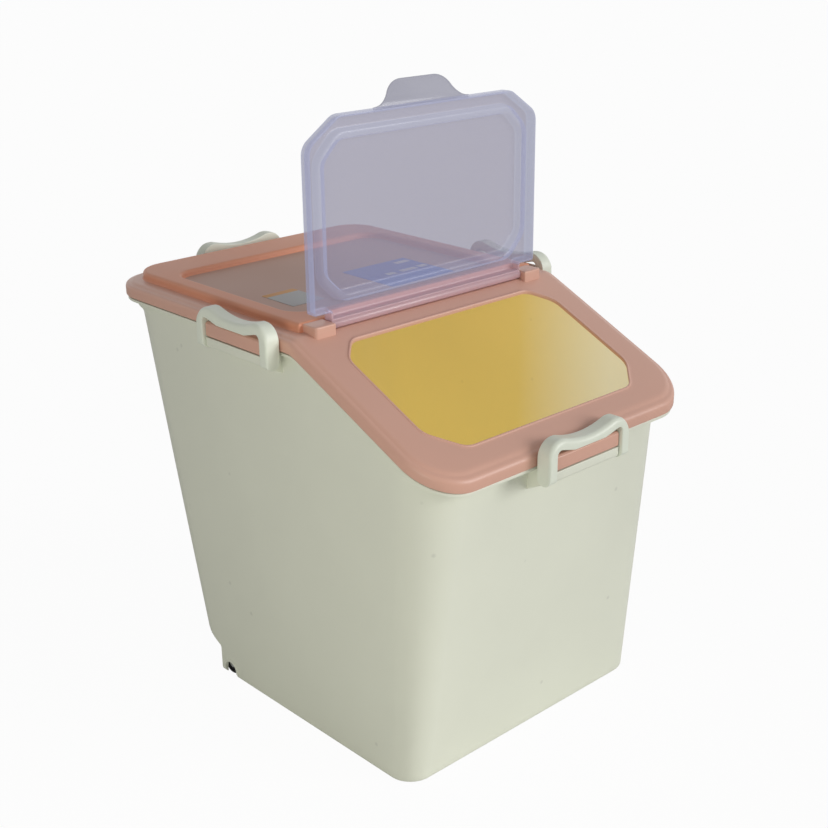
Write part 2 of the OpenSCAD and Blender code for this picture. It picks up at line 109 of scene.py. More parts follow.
def ring(x1, y0, y1, r0, r1):
    """A rounded rectangle as points, anticlockwise from the front end of its right side. r0
    rounds the front corners and r1 the rear ones. Every ring has as many points as any other,
    and its sides carry the same close samples at the crease and at the rear step, so rings loft
    to clean quads."""
    ys = np.concatenate([np.linspace(y0 + r0, KNOTS[0], 8)[:-1], KNOTS,
                         np.linspace(KNOTS[-1], STEP_BACK - 0.5, 8)[1:], [STEP_BACK],
                         np.linspace(STEP_BACK, y1 - r1, 7)[1:]])
    a = np.linspace(0, math.pi / 2, 15)[1:-1]
    end = np.linspace(1, -1, 13)
    right = np.stack([np.full(len(ys), x1), ys], 1)
    rear_right = np.stack([x1 - r1 + r1 * np.cos(a), y1 - r1 + r1 * np.sin(a)], 1)
    rear = np.stack([(x1 - r1) * end, np.full(len(end), y1)], 1)
    front_right = np.stack([x1 - r0 + r0 * np.cos(a), y0 + r0 - r0 * np.sin(a)], 1)
    front = np.stack([-(x1 - r0) * end, np.full(len(end), y0)], 1)
    flip = np.array([-1.0, 1.0])
    return np.concatenate([right, rear_right, rear, (rear_right * flip)[::-1],
                           (right * flip)[::-1], front_right * flip, front, front_right[::-1]])


def side_normals(loop):
    """The outward normals of the two sides that meet at each point of a closed loop: the side
    that comes in, then the side that goes out."""
    d = np.roll(loop, -1, 0) - loop
    d /= np.linalg.norm(d, axis=1)[:, None]
    after = np.column_stack([d[:, 1], -d[:, 0]])
    return np.roll(after, 1, 0), after


def mitres(loop):
    """For each point of a closed loop, the way out that moves both its sides by one: the sum of
    their normals over one plus the normals' product."""
    before, after = side_normals(loop)
    return (before + after) / (1 + (before * after).sum(1))[:, None]


def outline(corners, radii, grow=0.0, n=6):
    """A closed outline with straight sides moved out by grow. Each corner is an arc of its own
    radius, larger by grow where it is convex and smaller where it is hollow."""
    c = np.asarray(corners, float)
    before, after = side_normals(c)
    s = np.where(before[:, 0] * after[:, 1] - before[:, 1] * after[:, 0] > 0, 1.0, -1.0)
    r = np.maximum(np.asarray(radii) + s * grow, 0.02)
    mid = c + (grow - s * r)[:, None] * mitres(c)
    start = np.arctan2(s * before[:, 1], s * before[:, 0])
    turn = np.arctan2(s * after[:, 1], s * after[:, 0]) - start
    turn = (turn + math.pi) % (2 * math.pi) - math.pi
    a = start[:, None] + turn[:, None] * np.linspace(0, 1, n + 1)
    arcs = mid[:, None] + r[:, None, None] * np.stack([np.cos(a), np.sin(a)], 2)
    return arcs.reshape(-1, 2)


def box_corners(x0, y0, x1, y1):
    """The corners of a rectangle, anticlockwise."""
    return [(x0, y0), (x1, y0), (x1, y1), (x0, y1)]


def cut_corners(x, y0, y1, a, b):
    """The corners of a rectangle whose own corners are cut off, a along x and b along y."""
    return [(-x + a, y0), (x - a, y0), (x, y0 + b), (x, y1 - b), (x - a, y1), (-x + a, y1),
            (-x, y1 - b), (-x, y0 + b)]


def inside(loop, p):
    """Whether each point lies in a loop: the number of sides crossed on the way out is odd."""
    a, b = loop, np.roll(loop, -1, 0)
    x, y = p[:, :1], p[:, 1:]
    cross = (a[:, 1] > y) != (b[:, 1] > y)
    dy = np.where(b[:, 1] == a[:, 1], 1e-9, b[:, 1] - a[:, 1])
    at = a[:, 0] + (y - a[:, 1]) * (b[:, 0] - a[:, 0]) / dy
    return ((x < at) & cross).sum(1) % 2 == 1


def crease_lines(loop):
    """Straight lines across a loop at the close samples about the crease."""
    half = loop[:, 0].max()
    return [[(-half, y), (half, y)] for y in KNOTS]


def level(p, z):
    """Flat points laid at one height."""
    return np.column_stack([p, np.full(len(p), float(z))])


def on_rim(p, up):
    """Flat points laid above the rim line."""
    return np.column_stack([p, rim(p[:, 1]) + up])


def on_cap(p, up=0.0):
    """Flat points laid above the cap."""
    return on_rim(p, CAP + up)


class Skin:
    """The points, faces and material numbers of one piece, in millimetres."""

    def __init__(self):
        self.points, self.faces, self.marks, self.count = [], [], [], 0

    def add(self, pts):
        """Keep some points and say where they start."""
        start = self.count
        self.points.append(np.asarray(pts, float))
        self.count += len(pts)
        return start

    def loft(self, rows, mark=0):
        """Quads between each closed row of points and the next."""
        rows = np.asarray(rows, float)
        n = rows.shape[1]
        s = self.add(rows.reshape(-1, 3))
        i = np.arange(n)
        j = (i + 1) % n
        for a in range(rows.shape[0] - 1):
            q = np.stack([i, j, j + n, i + n], 1) + s + a * n
            self.faces += q.tolist()
            self.marks += [mark] * n

    def fill(self, loops, place, lines=(), mark=0):
        """Triangles between a closed loop and the loops inside it, split along the given lines,
        which stay open. place turns a flat point into its place on the object."""
        flat = [np.asarray(p, float)[:, :2] for p in (*loops, *lines)]
        edges, s = [], 0
        for k, p in enumerate(flat):
            i = s + np.arange(len(p))
            pairs = np.column_stack([i, np.roll(i, -1)])
            edges += pairs[:len(p) if k < len(loops) else -1].tolist()
            s += len(p)
        v, _, f, *_ = delaunay_2d_cdt([Vector(p) for p in np.concatenate(flat)], edges, [], 1,
                                      1e-5)
        v = np.array(v)
        f = np.array([t for t in f if len(t) == 3])
        mid = v[f].mean(1)
        keep = inside(flat[0], mid)
        for hole in flat[1:len(loops)]:
            keep &= ~inside(hole, mid)
        s = self.add(place(v))
        self.faces += (f[keep] + s).tolist()
        self.marks += [mark] * int(keep.sum())

    def rod(self, start, end, r, n=40, edge=0.3):
        """A round rod between two points, with a small rounded edge and a closed face at both
        ends."""
        start, end = np.asarray(start, float), np.asarray(end, float)
        axis = (end - start) / np.linalg.norm(end - start)
        side = np.cross(axis, [0, 0, 1.0])
        side /= np.linalg.norm(side)
        up = np.cross(axis, side)
        a = np.linspace(0, 2 * math.pi, n, endpoint=False)
        circle = np.cos(a)[:, None] * side + np.sin(a)[:, None] * up
        steps = [(0, 0), (0, r - edge), (edge * 0.3, r - edge * 0.3), (edge, r)]
        self.loft([start + axis * t + circle * c for t, c in steps]
                  + [end - axis * t + circle * c for t, c in steps[::-1]])

    def prism(self, corners, radii, v0, v1, r, place):
        """An outline carried from v0 to v1, its two end faces rounded off by r. place takes the
        outline's two coordinates and the distance along."""
        a = np.linspace(0, math.pi / 2, 6)
        steps = [(-r * (1 - math.sin(t)), v0 + r * (1 - math.cos(t))) for t in a]
        steps += [(-r * (1 - math.sin(t)), v1 - r * (1 - math.cos(t))) for t in a[::-1]]
        rows = []
        for grow, v in steps:
            p = outline(corners, radii, grow)
            rows.append(place(p[:, 0], p[:, 1], np.full(len(p), v)))
        self.loft(rows)
        for v in (v0, v1):
            self.fill([outline(corners, radii, -r)],
                      lambda q, v=v: place(q[:, 0], q[:, 1], np.full(len(q), v)))

    def slab(self, corners, radii, lo, hi, r):
        """An upright block on a flat outline, with its top edge rounded off by r."""
        a = np.linspace(0, math.pi / 2, 6)
        steps = [(0.0, lo)] + [(-r * (1 - math.cos(t)), hi - r * (1 - math.sin(t))) for t in a]
        self.loft([level(outline(corners, radii, grow), z) for grow, z in steps])
        self.fill([outline(corners, radii, -r)], lambda q: level(q, hi))
        self.fill([outline(corners, radii)], lambda q: level(q, lo))

    def mesh(self, name):
        """The skin as a mesh in metres, its seams joined and its faces turned outwards."""
        me = bpy.data.meshes.new(name)
        me.from_pydata((np.concatenate(self.points) * MM).tolist(), [], self.faces)
        me.polygons.foreach_set("material_index", self.marks)
        bm = bmesh.new()
        bm.from_mesh(me)
        bmesh.ops.remove_doubles(bm, verts=bm.verts, dist=3e-6)
        bmesh.ops.dissolve_degenerate(bm, edges=bm.edges, dist=1e-6)
        bmesh.ops.recalc_face_normals(bm, faces=bm.faces)
        bm.to_mesh(me)
        bm.free()
        return me


def piece(name, source, body, slot, mats, *nodes, sharp=38):
    """Make a piece from a skin or a finished mesh, let it ride on its body and stand for its
    nodes. Edges that turn by more than sharp degrees stay crisp."""
    me = source.mesh(name) if isinstance(source, Skin) else source
    for m in mats:
        me.materials.append(m)
    me.polygons.foreach_set("use_smooth", [True] * len(me.polygons))
    me.set_sharp_from_angle(angle=math.radians(sharp))
    ob = bpy.data.objects.new(name, me)
    bpy.context.scene.collection.objects.link(ob)
    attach(ob, body)
    if nodes:
        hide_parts(*nodes)
    return ob


def boolean(mesh, other, how):
    """One mesh joined with or cut by another, as a new mesh."""
    a = bpy.data.objects.new("work_a", mesh)
    b = bpy.data.objects.new("work_b", other)
    for o in (a, b):
        bpy.context.scene.collection.objects.link(o)
    mod = a.modifiers.new("m", "BOOLEAN")
    mod.operation, mod.object, mod.solver, mod.use_self = how, b, "EXACT", True
    bpy.context.view_layer.update()
    seen = a.evaluated_get(bpy.context.evaluated_depsgraph_get())
    out = bpy.data.meshes.new_from_object(seen)
    for o in (a, b):
        bpy.data.objects.remove(o)
    return out


class Side:
    """The place of a clip: u points out from the skirt, v along it, w up from the skirt's edge.
    A point is the start plus each coordinate times its direction."""

    def __init__(self, angle, reach, height, shift=0.0):
        a = math.radians(angle)
        self.out = np.array([math.cos(a), math.sin(a), 0])
        self.along = np.array([-math.sin(a), math.cos(a), 0])
        self.start = self.out * reach + np.array([0, shift, height])

    def __call__(self, u, v, w):
        return (self.start + np.outer(u, self.out) + np.outer(v, self.along)
                + np.outer(w, [0, 0, 1.0]))


SIDES = {
    "left": Side(180, SKIRT_X, RIM, CLIP_Y), "right": Side(0, SKIRT_X, RIM, CLIP_Y),
    "front": Side(-90, SKIRT_Y, RIM - FRONT_DROP), "rear": Side(90, SKIRT_Y, RIM),
}


# ---------------------------------------------------------------- materials

def linear(c):
    """A display colour from 0 to 255 as the linear colour that Blender mixes: a power law above a
    short straight foot."""
    v = np.asarray(c, float) / 255
    return np.append(np.where(v <= 0.04045, v / 12.92, ((v + 0.055) / 1.055) ** 2.4), 1.0)


def shaded(colour, k):
    """A linear colour made k times as bright."""
    return np.append(np.clip(colour[:3] * k, 0, 1), 1.0)


class Wire:
    """A number that runs from a node's socket. Sums, differences, products and comparisons of
    wires and plain numbers add the Math nodes that work them out."""

    def __init__(self, shade, socket):
        self.shade, self.socket = shade, socket

    def maths(self, operation, a, b, clamp=False):
        """A Math node over two numbers."""
        return self.shade.node("Math", {"operation": operation, "use_clamp": clamp}, {0: a, 1: b})

    def __add__(self, other):
        return self.maths("ADD", self, other)

    def __sub__(self, other):
        return self.maths("SUBTRACT", self, other)

    def __rsub__(self, other):
        return self.maths("SUBTRACT", other, self)

    def __mul__(self, other):
        return self.maths("MULTIPLY", self, other)

    def __gt__(self, other):
        return self.maths("GREATER_THAN", self, other)

    def __lt__(self, other):
        return self.maths("LESS_THAN", self, other)

    __radd__, __rmul__ = __add__, __mul__

    def rise(self, lo, hi):
        """0 at lo and 1 at hi, straight between them and level beyond: (x - lo) / (hi - lo)."""
        return self.maths("MULTIPLY", self - lo, 1 / (hi - lo), clamp=True)

    def top(self, other):
        """The larger of two numbers."""
        return self.maths("MAXIMUM", self, other)


class Shade:
    """The node tree of a material or of the world."""

    def __init__(self, owner):
        owner.use_nodes = True
        self.owner, self.tree = owner, owner.node_tree

    def node(self, kind, settings, sockets, out=0):
        """A node of a type: its settings first, then a value or a wire for each named socket."""
        n = self.tree.nodes.new("ShaderNode" + kind)
        for name, value in settings.items():
            setattr(n, name, value)
        self.feed(n, sockets)
        return Wire(self, n.outputs[out])

    def feed(self, n, sockets):
        """Give a node's sockets their values or wires."""
        for name, value in sockets.items():
            if isinstance(value, Wire):
                self.tree.links.new(value.socket, n.inputs[name])
            else:
                n.inputs[name].default_value = value

    def finish(self, sockets):
        """Feed the surface itself and return the material."""
        self.feed(self.tree.nodes["Principled BSDF"], sockets)
        return self.owner

    def place(self):
        """The point on the object, in metres."""
        return self.node("TexCoord", {}, {}, "Object")

    def along(self, axis):
        """The distance along one axis of the object, in metres."""
        return self.node("SeparateXYZ", {}, {0: self.place()}, axis)

    def noise(self, scale, detail, rough=0.5, out="Fac"):
        """Cloudy noise over the object."""
        return self.node("TexNoise", {}, {"Vector": self.place(), "Scale": scale,
                                          "Detail": detail, "Roughness": rough}, out)

    def mix(self, share, a, b, blend="MIX"):
        """A colour between a and b."""
        settings = {"data_type": "RGBA", "blend_type": blend}
        return self.node("Mix", settings, {0: share, 6: a, 7: b}, 2)

    def bump(self, height, strength, distance):
        """The surface's normal, tilted as if the height stood on it."""
        return self.node("Bump", {}, {"Height": height, "Strength": strength,
                                      "Distance": distance})


def plastic(name, colour, rough=0.35, cloud=0.05, grain=0.02, specks=0.0, shine=0.5, metal=0.0):
    """Moulded plastic: slow clouding of the colour and gloss, a very fine surface grain, and if
    asked for a few small dark specks in the moulding."""
    s = Shade(bpy.data.materials.new(name))
    base = linear(colour)
    slow = s.noise(9.0, 3.0, 0.55)
    tint = s.mix(slow, shaded(base, 1 - cloud), shaded(base, 1 + 0.6 * cloud))
    if specks:
        dots = s.node("TexVoronoi", {}, {"Vector": s.place(), "Scale": 26.0}, "Distance")
        tint = s.mix(specks * (1 - dots.rise(0.025, 0.065)), tint, shaded(base, 0.55))
    return s.finish({
        "Base Color": tint, "Roughness": rough - 0.04 + 0.09 * slow.rise(0.3, 0.7),
        "Normal": s.bump(s.noise(900.0, 2.0), grain, 0.0004), "IOR": 1.5,
        "Specular IOR Level": shine, "Metallic": metal})


def paint_inner_glow(m, deep, pale):
    """A painted glow that stands in for daylight through the thin wall and light bounced inside:
    deep in most of the bin, pale on the side where the light falls. Both rises are straight,
    along x and along y."""
    s = Shade(m)
    # painted glow, brighter on the side where the light falls
    sunny = s.along(0).rise(0.100, 0.138) * (1 - s.along(1).rise(-0.13, -0.02))
    s.finish({"Emission Color": s.mix(sunny, deep + (1,), pale + (1,)), "Emission Strength": 1.0})


def clear_plastic(name, colour, alpha, painted_back_glow, foot, lit_foot_alpha):
    """Lilac see-through plastic: a thin tinted skin with a painted glow that stands in for light
    from behind, a little cloudier where it was filled last, and painted light rose in the door's
    thick foot that stands in for the brightly lit pink lid seen through it."""
    s = Shade(bpy.data.materials.new(name))
    base = linear(colour)
    slow = s.noise(6.0, 2.0)
    # share of painted light rose at the door's foot, standing in for the lit pink lid seen
    # through it
    low = 1 - s.along(2).rise(LIT_FOOT_LOW, LIT_FOOT_HIGH)
    skin = alpha - 0.01 + 0.02 * slow.rise(0.3, 0.7)
    tint = s.mix(slow, shaded(base, 0.95), shaded(base, 1.05))
    # the emission is a painted glow for light from behind, turned off at the painted rose foot
    return s.finish({
        "Base Color": s.mix(low, tint, linear(foot)), "Alpha": skin + low * (lit_foot_alpha - skin),
        "Emission Color": s.mix(low, painted_back_glow + (1,), (0, 0, 0, 1)), "Emission Strength": 1.0,
        "Roughness": 0.22, "Normal": s.bump(s.noise(700.0, 1.0), 0.02, 0.0003), "IOR": 1.49})


def label_material(name, ground, bar, bars):
    """A plain printed label: an even ground with plain bars, worn a little by clouding. A bar is
    its left, front, right and rear edge in millimetres."""
    s = Shade(bpy.data.materials.new(name))
    x, y = s.along(0), s.along(1)
    inner = 0.0
    for x0, y0, x1, y1 in bars:
        inner = (x > x0 * MM) * (x < x1 * MM) * (y > y0 * MM) * (y < y1 * MM) + inner
    printed = s.mix(inner, linear(ground), linear(bar))
    worn = s.mix(0.12, printed, s.noise(60.0, 3.0, out="Color"), "MULTIPLY")
    return s.finish({"Base Color": worn, "Roughness": 0.36 + 0.1 * s.noise(30.0, 2.0),
                     "Specular IOR Level": 0.1})


TUB = plastic("tub_cream", (228, 230, 214), 0.38, 0.05, 0.03, specks=0.3)
# the inside is a yellower copy of the cream plastic with a painted glow: painted light for
# daylight through the thin wall and bounced inside
TUB_IN = plastic("tub_inside", (228, 208, 130), 0.42, 0.08, 0.03, specks=0.25)
paint_inner_glow(TUB_IN, (0.185, 0.174, 0.072), (0.235, 0.295, 0.29))
LID = plastic("lid_pink", (216, 168, 149), 0.36, 0.05, 0.03)
BORDER_PINK = plastic("lid_border", (222, 154, 124), 0.42, 0.05, 0.03, shine=0.25)
RECESS = plastic("lid_recess", (192, 157, 142), 0.55, 0.06, 0.10)
CLIP = plastic("clip_ivory", (228, 233, 218), 0.4, 0.05, 0.03)
# each clear copy carries a painted back glow and a painted light rose foot
DOOR = clear_plastic("door_lilac", (131, 131, 147), 0.41, (0.140, 0.127, 0.190),
                     (226, 190, 198), 0.6)
DOOR_TAB = clear_plastic("door_lilac_tab", (120, 120, 135), 0.55, (0.140, 0.140, 0.175),
                         (226, 190, 198), 0.6)
# the edge copy is lighter, with a stronger painted glow: painted light on the rim and ring walls
DOOR_EDGE = clear_plastic("door_lilac_edge", (130, 134, 162), 0.38, (0.190, 0.200, 0.290),
                          (228, 194, 204), 0.56)
WHEEL = plastic("wheel_black", (22, 22, 24), 0.5, 0.2, 0.08)
STEEL = plastic("axle_steel", (178, 180, 184), 0.3, 0.1, 0.05, metal=1.0)
SEAL = plastic("seal_rubber", (214, 214, 208), 0.6, 0.08, 0.1)


# ---------------------------------------------------------------- tub

# half width, front, rear and corner radii of the wall at the foot and at the rim line, and the
# way each goes when the wall is set in
WALL_FOOT = np.array([140.5, -168.5, 111.5, 22, 22])
WALL_RIM = np.array([142.5, -205.0, 205.0, 44, 44])
WALL_IN = np.array([-1, 1, -1, -1, -1])
WALL_LOW, WALL_TOP = 80.0, -16.0   # the plain wall's lower level, and its top over the rim line
BOW = 1.4                          # how far the middle of a wall stands out
BOW_LOW, BOW_HIGH = 60.0, 320.0    # the levels between which it does


def wall(z, inset):
    """The wall's measures at a height, straight between the foot's and the rim's, set in."""
    return WALL_FOOT + (WALL_RIM - WALL_FOOT) * z / RIM + WALL_IN * inset


def bow(xy, z):
    """Push the middle of each wall out a little: most half way up, nothing at its ends. The push
    is a half sine wave in height, a parabola along the wall, and fades towards the other walls
    by a sixth power."""
    x1, y0, y1 = np.abs(xy[:, 0]).max(), xy[:, 1].min(), xy[:, 1].max()
    middle, half = (y0 + y1) / 2, (y1 - y0) / 2
    b = BOW * np.sin(math.pi * np.clip((z - BOW_LOW) / (BOW_HIGH - BOW_LOW), 0, 1))
    x, y = xy[:, 0], xy[:, 1] - middle
    to_side = np.clip(1 - (y / half) ** 2, 0, 1) * (np.abs(x) / x1) ** 6
    to_end = np.clip(1 - (x / x1) ** 2, 0, 1) * (np.abs(y) / half) ** 6
    return xy + b[:, None] * np.column_stack([np.sign(x) * to_side, np.sign(y) * to_end])


def between(a, b, share):
    """A point a share of the way from a to b."""
    return a + (b - a) * share


def wall_row(t, inset):
    """A ring on the tapered wall, a share t of the way from its lower level to its top. Height
    and depth hang on each other, so a few rounds settle them."""
    foot, top = ring(*wall(0, inset)), ring(*wall(RIM, inset))
    z = np.full(len(foot), 200.0)
    for _ in range(8):
        xy = between(foot, top, (z / RIM)[:, None])
        z = WALL_LOW + (rim(xy[:, 1]) + WALL_TOP - WALL_LOW) * t
    return np.column_stack([bow(xy, z), z])


def level_row(z, inset, t=0.0):
    """A ring on the wall at one height, cut off by the step under the tub's rear, t thick."""
    xy = ring(*wall(z, inset))
    xy[:, 1] = np.minimum(xy[:, 1], np.interp(z - t, STEP_Z, STEP_Y) - t)
    return level(bow(xy, np.full(len(xy), float(z))), z)


def rim_row(inset, up):
    """A ring set in from the skirt and laid a little above the rim line."""
    r = SKIRT_R - inset
    return on_rim(ring(SKIRT_X - inset, -SKIRT_Y + inset, SKIRT_Y - inset, r, r), up)


def flange_rows(wall_top, band, steps):
    """Rings from the wall's top out to a band. A step is a share of the way and a height over
    the rim line."""
    return [on_rim(between(wall_top[:, :2], band, share), up) for share, up in steps]


def build_tub():
    """The tub as a closed skin, outside from the foot up to the edge and inside down to the
    bottom, with the wheel housings joined on and hollowed out."""
    s = Skin()
    foot = ((0, 4), (0.3, 2.7), (1.2, 1.2), (2.5, 0.35), (4, 0))
    low = (9, 16, 22, 24, 25, 26, 26.7, 27.5, 28.5, 29.6, 30.8, 31.9, 33, 34, 35.2, 36.6, 38.2,
           40, 42.5, 45, 50, 55, 60.5, 66.3, 70, 74, 77, WALL_LOW)
    flange = ((0.06, -14.5), (0.2, -12.8), (0.45, -11.4), (0.75, -10.4), (0.95, -9.6),
              (1, -8.6), (1, -4.6))
    edge = ((6.5, -4.1), (3, -4), (1.9, -4), (1.6, -3.8), (1.5, -3.4), (1.5, -2.1), (1.6, -1.7),
            (1.9, -1.5), (7, -1.5), (7.4, -1.3), (7.5, -0.8), (7.5, 5.8), (7.7, 6.3), (8.2, 6.5),
            (9.3, 6.5))
    outer = [level_row(z, inset) for z, inset in foot]
    outer += [level_row(z, 0) for z in low]
    outer += [wall_row(t, 0) for t in np.linspace(0, 1, 26)[1:]]
    outer += flange_rows(outer[-1], ring(142.5, -203.5, 204.5, 37, 37), flange)
    outer += [rim_row(inset, up) for inset, up in edge]
    s.loft(outer)

    edge = ((9.3, 6.5), (9.8, 6.3), (10, 5.8), (10, -1.5))
    flange = ((1, -5), (1, -8), (0.95, -9.2), (0.75, -10.3), (0.45, -11.8), (0.2, -13.4),
              (0.06, -14.9))
    low = (76, 72, 66, 60, 54, 48, 42.5, 39.5, 37, 34.5, 32.2, 30, 28.7, 27.5, 24, 18, 12)
    bottom = ((8, 0.4), (5.6, 1.5), (4, 3.2), (3.2, 5.4), (3, 8))
    inner = [rim_row(inset, up) for inset, up in edge]
    inner += flange_rows(wall_row(1, SHEET), ring(140, -201, 202, 34, 34), flange)
    inner += [wall_row(t, SHEET) for t in np.linspace(1, 0, 24)]
    inner += [level_row(z, SHEET, SHEET) for z in low]
    inner += [level_row(z, SHEET + g, SHEET + g) for z, g in bottom]
    s.loft(inner, 1)
    s.fill([outer[0]], lambda q: level(q, 0))
    s.fill([inner[-1]], lambda q: level(q, bottom[-1][0]), mark=1)
    tub = s.mesh("tub")

    add, cut = Skin(), Skin()
    for side in (-1, 1):
        def place(y, z, x, side=side):
            return np.column_stack([x * side, y, z])

        # the housing and the raised frame round its arch, then the wheel's room and the arch
        add.prism(box_corners(62.2, 1.5, 86.6, 23.8), [0.3, 0.3, 6, 13.5], 122.5, 139.2, 1.0,
                  place)
        add.prism(box_corners(61.8, 4.5, 84.4, 17), [0.3, 0.3, 11, 11], 138.6, 141.15, 0.4, place)
        cut.prism([(64.7, -9), (88.4, -9), (88.4, 12), (83.4, 21.3), (64.7, 21.3)],
                  [0.2, 0.2, 1.5, 4, 11.2], 125, 138, 0.2, place)
        cut.prism(box_corners(64.8, -9, 81.4, 14), [0.2, 0.2, 8.2, 8.2], 130, 150, 0.05, place)
    tub = boolean(tub, add.mesh("add"), "UNION")
    return boolean(tub, cut.mesh("cut"), "DIFFERENCE")


def build_ledges():
    """The four ledges that the clips hook under, each hung from the flange. The front and rear
    ones reach further in, to where the wall draws back."""
    s = Skin()
    reach = {"front": (-17.5, -20.3), "rear": (-8.8, -15.9)}
    for name, side in SIDES.items():
        top, low = reach.get(name, (-8.7, -8.7))
        corners = [(top, -4), (low, -18 + low / 2), (0, -18), (12.2, -11.5), (12.2, -4)]
        s.prism(corners, [0.5, 0.5, 9, 3, 0.8], -LUG_HALF, LUG_HALF, 0.9,
                lambda u, w, v, side=side: side(u, v, w))
    return s


piece("Tub_Moulding", build_tub(), "bin", "tub_plastic", [TUB, TUB_IN], "tub", sharp=40)
piece("Tub_Clip_Ledges", build_ledges(), "bin", "tub_plastic", [TUB])


# ---------------------------------------------------------------- lid

OPEN = [(-95, -188), (95, -188), (118, -165), (118, -83), (100.5, -65.5), (-100.5, -65.5),
        (-118, -83), (-118, -165)]
OPEN_R = [17] * 4 + [15] * 4
BORDER = box_corners(-133, -40.1, 133, 202)
BORDER_R = [1.5, 1.5, 28.5, 28.5]
FLOOR = box_corners(-116, -16.1, 116, 159)
FLOOR_R = [20] * 4


def cap_rings(corners, radii, steps, n=6):
    """Rings on the cap round an outline. A step is how far the outline grows and its height
    over the cap."""
    return [on_cap(outline(corners, radii, grow, n), up) for grow, up in steps]


def trough_arc():
    """The hinge's trough as depths and heights: an arc about the hinge axis, from where it dips
    under the cap to where it comes out again."""
    t = np.linspace(-1, 1, 20001)
    y, z = HINGE[1] + TROUGH_R * np.sin(t), HINGE[2] - TROUGH_R * np.cos(t)
    sunk = t[z < rim(y) + CAP]
    a = np.linspace(sunk[0], sunk[-1], 13)
    return HINGE[1:] + TROUGH_R * np.column_stack([np.sin(a), -np.cos(a)])


def build_lid():
    """The lid as a closed skin: its cap and skirt, the opening's lip, the raised border round
    the let-in floor, and the hinge's trough."""
    s = Skin()
    shoulder = ((9.0, 0), (8.0, 0.06), (6.9, 0.25), (6.0, 0.55), (5.3, 0.95), (4.7, 1.35),
                (4.1, 1.6), (3.5, 1.72), (2.8, 1.8), (2.1, 1.98), (1.4, 2.35), (0.8, 2.9),
                (0.35, 3.6), (0.08, 4.5), (0, 5.6))
    skirt = ((0, 0.7), (0.15, 0.25), (0.5, 0), (2.0, 0), (2.4, 0.15), (2.5, 0.5), (2.5, 5.0),
             (3.0, 5.5), (6.0, 5.6), (6.5, 6), (6.5, 9.0), (7.0, CAP - SHEET), (14, CAP - SHEET))
    rows = [rim_row(inset, CAP - down) for inset, down in shoulder]
    rows += [rim_row(inset, up) for inset, up in skirt]
    s.loft(rows)
    lip = cap_rings(OPEN, OPEN_R, (
        (4.5, 0), (2.3, 0), (1.85, 0.14), (1.7, 0.42), (1.4, 0.68), (0.9, 0.8), (0.4, 0.7),
        (0.1, 0.42), (0, 0.05), (0, -1.9), (0.15, -2.35), (0.5, -SHEET), (4.5, -SHEET)))
    s.loft(lip)

    # the border's step and its well share one rounded edge
    edge = ((0.15, 4.9), (0.6, 5.8), (1.3, 6.5), (2.2, 6.88), (3.2, BORDER_UP))
    step = cap_rings(BORDER, BORDER_R, (
        (1.2, 0), (0.65, 0.15), (0.25, 0.6), (0.04, 1.4), (0, 2.4), (0, 4.0),
        *((-g, up) for g, up in edge), (-5.0, BORDER_UP)), 10)
    s.loft(step, 2)
    well = cap_rings(FLOOR, FLOOR_R, ((5.0, BORDER_UP), *edge[::-1], (0, 4.2)), 10)
    s.loft(well, 2)
    drop = cap_rings(FLOOR, FLOOR_R, (
        (0, 4.2), (0, 3.2), (-0.25, 2.3), (-0.9, 1.7), (-1.9, FLOOR_UP), (-4.0, FLOOR_UP)), 10)
    s.loft(drop[:4], 2)
    s.loft(drop[3:], 1)

    # the trough is let into the cap in front of the border, with a flat face at both its ends
    arc = trough_arc()
    mouth = level(box_corners(-TROUGH_X, arc[0, 0], TROUGH_X, arc[-1, 0]), 0)
    s.fill([rows[0], lip[0], step[0], mouth], on_cap, crease_lines(rows[0]))
    over = KNOTS[(KNOTS > arc[0, 0]) & (KNOTS < arc[-1, 0])][::-1]
    loop = np.concatenate([arc, np.column_stack([over, rim(over) + CAP])])
    n, strips = len(loop), len(arc) - 1
    start = s.add(np.concatenate([np.column_stack([np.full(n, x), loop])
                                  for x in (-TROUGH_X, TROUGH_X)]))
    i = start + np.arange(strips)
    s.faces += np.stack([i, i + 1, i + 1 + n, i + n], 1).tolist()
    s.faces += [list(range(start, start + n)), list(range(start + n, start + 2 * n))]
    s.marks += [0] * (strips + 2)

    s.fill([rows[-1], lip[-1]], lambda q: on_cap(q, -SHEET), crease_lines(rows[-1]))
    s.fill([step[-1], well[0]], lambda q: on_cap(q, BORDER_UP), mark=2)
    s.fill([drop[-1]], lambda q: on_cap(q, FLOOR_UP), mark=1)
    return s


def build_lid_fittings():
    """The hinge blocks at the door's ends and the four lugs that the clips press on."""
    s = Skin()
    for x in (-1, 1):
        x0, x1 = sorted((x * 108.5, x * 129.0))
        near, far = (2.6, 1.0) if x < 0 else (1.0, 2.6)
        s.slab(box_corners(x0, HINGE[1] - 8, x1, HINGE[1] + 9.2), [near, far, 0.8, 0.8],
               HINGE[2] - 8, HINGE[2] + 3.2, 1.4)
    for side in SIDES.values():
        s.prism([(-1, -3), (12, -3), (12, 7.5), (10.5, 9), (-1, 9)], [0.1, 0.8, 1.2, 1.2, 0.1],
                -LUG_HALF, LUG_HALF, 0.9, lambda u, w, v, side=side: side(u, v, w))
    return s


piece("Lid_Cover", build_lid(), "bin", "lid_plastic", [LID, RECESS, BORDER_PINK],
      "lid", sharp=50)
piece("Lid_Lugs_And_Hinge_Blocks", build_lid_fittings(), "bin", "lid_plastic", [LID])


# ---------------------------------------------------------------- flip door

# the door's outline and the sealing ring on its plate, as heights over the hinge axis
DOOR_C = [(-BARREL_X, 2.5), (BARREL_X, 2.5), (BARREL_X, 10.1), (125.5, 10.1), (125.5, 140.5),
          (94.5, DOOR_TOP), (-94.5, DOOR_TOP), (-125.5, 140.5), (-125.5, 10.1),
          (-BARREL_X, 10.1)]
DOOR_R = [0.6, 0.6, 1.2, 2.2, 14, 14, 14, 14, 2.2, 1.2]
RING_C = cut_corners(115.5, 15.8, 149.5, 20, 20)
RING_R = [19] * 8


